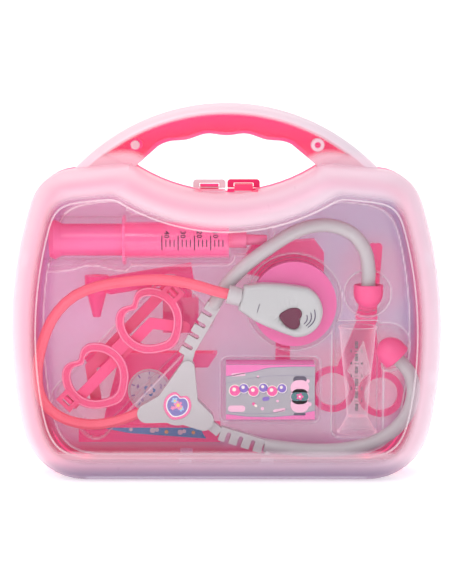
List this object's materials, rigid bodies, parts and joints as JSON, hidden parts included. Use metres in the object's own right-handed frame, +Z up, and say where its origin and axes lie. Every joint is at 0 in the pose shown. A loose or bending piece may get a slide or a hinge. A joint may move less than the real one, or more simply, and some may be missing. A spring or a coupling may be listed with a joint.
{
  "type": "toy doctor case",
  "caption": "Hinged two-shell carrying case with an arched handle and snap latches, holding a clear tray of toy medical instruments with working parts.",
  "frame": {"origin": "middle of the base, on the plane where the two half shells part", "axes": "+X to the right seen from the lid side, +Y from the lid to the back, +Z up to the handle"},
  "size_m": [0.27, 0.066, 0.237],
  "materials": {
    "frosted_clear": "clear with a faint frost",
    "shell_pink": "gloss",
    "latch_pink": "gloss",
    "clear_sheet": "clear",
    "clear_plastic": "clear",
    "pink_plastic": "gloss",
    "deep_pink": "gloss",
    "white_plastic": "satin",
    "orchid_plastic": "satin",
    "coral_tube": "soft gloss",
    "soft_tip": "satin",
    "plum_plastic": "gloss",
    "sticker": "gloss laminate",
    "card": "printed",
    "steel": "plated",
    "contact_brass": "bright",
    "board_green": "satin",
    "dark_plastic": "matt",
    "light_red": "clear",
    "lead_red": "matt"
  },
  "bodies": {
    "case": {"rear_shell": "shell_pink", "tray": "clear_sheet", "syringe_barrel": "clear_plastic", "syringe_nozzle": "pink_plastic", "stethoscope_yoke": "white_plastic", "yoke_sticker": "sticker", "upper_arm": "white_plastic", "lower_arm": "white_plastic", "upper_ear_tip": "soft_tip", "lower_ear_tip": "soft_tip", "sound_tube": "coral_tube", "tube_collar": "white_plastic", "chest_body": "white_plastic", "chest_base": "orchid_plastic", "chest_back": "orchid_plastic", "battery_door": "orchid_plastic", "battery_screw": "steel", "button_cells": "steel", "battery_contacts": "contact_brass", "circuit_board": "board_green", "dome_switch": "dark_plastic", "heart_light": "light_red", "sounder": "dark_plastic", "leads": "lead_red", "glasses_frame": "pink_plastic", "medicine_carton": "card", "measuring_cylinder": "clear_plastic", "otoscope_handle": "deep_pink", "otoscope_head": "deep_pink", "otoscope_speculum": "pink_plastic", "pill_bottle": "deep_pink", "bottle_cap": "white_plastic", "hammer_handle": "deep_pink", "hammer_head": "soft_tip", "scissor_arm_b": "deep_pink", "scissor_pin": "steel", "scale_body": "deep_pink", "scale_pan": "pink_plastic", "scale_dial": "sticker", "scale_label": "sticker"},
    "lid": {"front_shell": "frosted_clear"},
    "front_latch": {"front_latch_tab": "frosted_clear"},
    "rear_latch": {"rear_latch_tab": "latch_pink"},
    "plunger": {"syringe_plunger": "pink_plastic"},
    "left_temple_arm": {"left_temple": "pink_plastic"},
    "right_temple_arm": {"right_temple": "pink_plastic"},
    "button": {"heart_button": "plum_plastic"},
    "switch": {"otoscope_switch": "white_plastic"},
    "scissor_front": {"scissor_arm_a": "deep_pink"},
    "needle": {"scale_needle": "latch_pink"}
  },
  "joints": [
    {"name": "lid_hinge", "type": "hinge", "parent": "case", "child": "lid", "pos_m": [0, 0, 0.003], "axis": [1, 0, 0], "range_deg": [0, 130]},
    {"name": "front_latch_flex", "type": "hinge", "parent": "lid", "child": "front_latch", "pos_m": [-0.0108, -0.00125, 0.18355], "axis": [1, 0, 0], "range_deg": [0, 40], "stiffness_Nm_per_rad": 0.01},
    {"name": "rear_latch_flex", "type": "hinge", "parent": "case", "child": "rear_latch", "pos_m": [0.0108, 0.00125, 0.18355], "axis": [-1, 0, 0], "range_deg": [0, 40], "stiffness_Nm_per_rad": 0.01},
    {"name": "plunger_slide", "type": "slide", "parent": "case", "child": "plunger", "axis": [1, 0, 0], "range_m": [-0.006, 0.038]},
    {"name": "left_temple_hinge", "type": "hinge", "parent": "case", "child": "left_temple_arm", "pos_m": [-0.10064, -0.0054, 0.04887], "axis": [-0.7193, 0, 0.6947], "range_deg": [0, 2.5]},
    {"name": "right_temple_hinge", "type": "hinge", "parent": "case", "child": "right_temple_arm", "pos_m": [-0.03396, -0.0054, 0.11793], "axis": [0.7193, 0, -0.6947], "range_deg": [0, 6]},
    {"name": "button_press", "type": "slide", "parent": "case", "child": "button", "axis": [0, 1, 0], "range_m": [0, 0.0012], "stiffness_N_per_m": 300},
    {"name": "switch_slide", "type": "slide", "parent": "case", "child": "switch", "axis": [-0.986, 0, -0.167], "range_m": [0, 0.005]},
    {"name": "scissor_pivot", "type": "hinge", "parent": "case", "child": "scissor_front", "pos_m": [0.091, 0.0259, 0.098], "axis": [0, 1, 0], "range_deg": [0, 12]},
    {"name": "needle_turn", "type": "hinge", "parent": "case", "child": "needle", "pos_m": [-0.05, 0.0189, 0.051], "axis": [0, 1, 0], "range_deg": [-150, 150]}
  ]
}
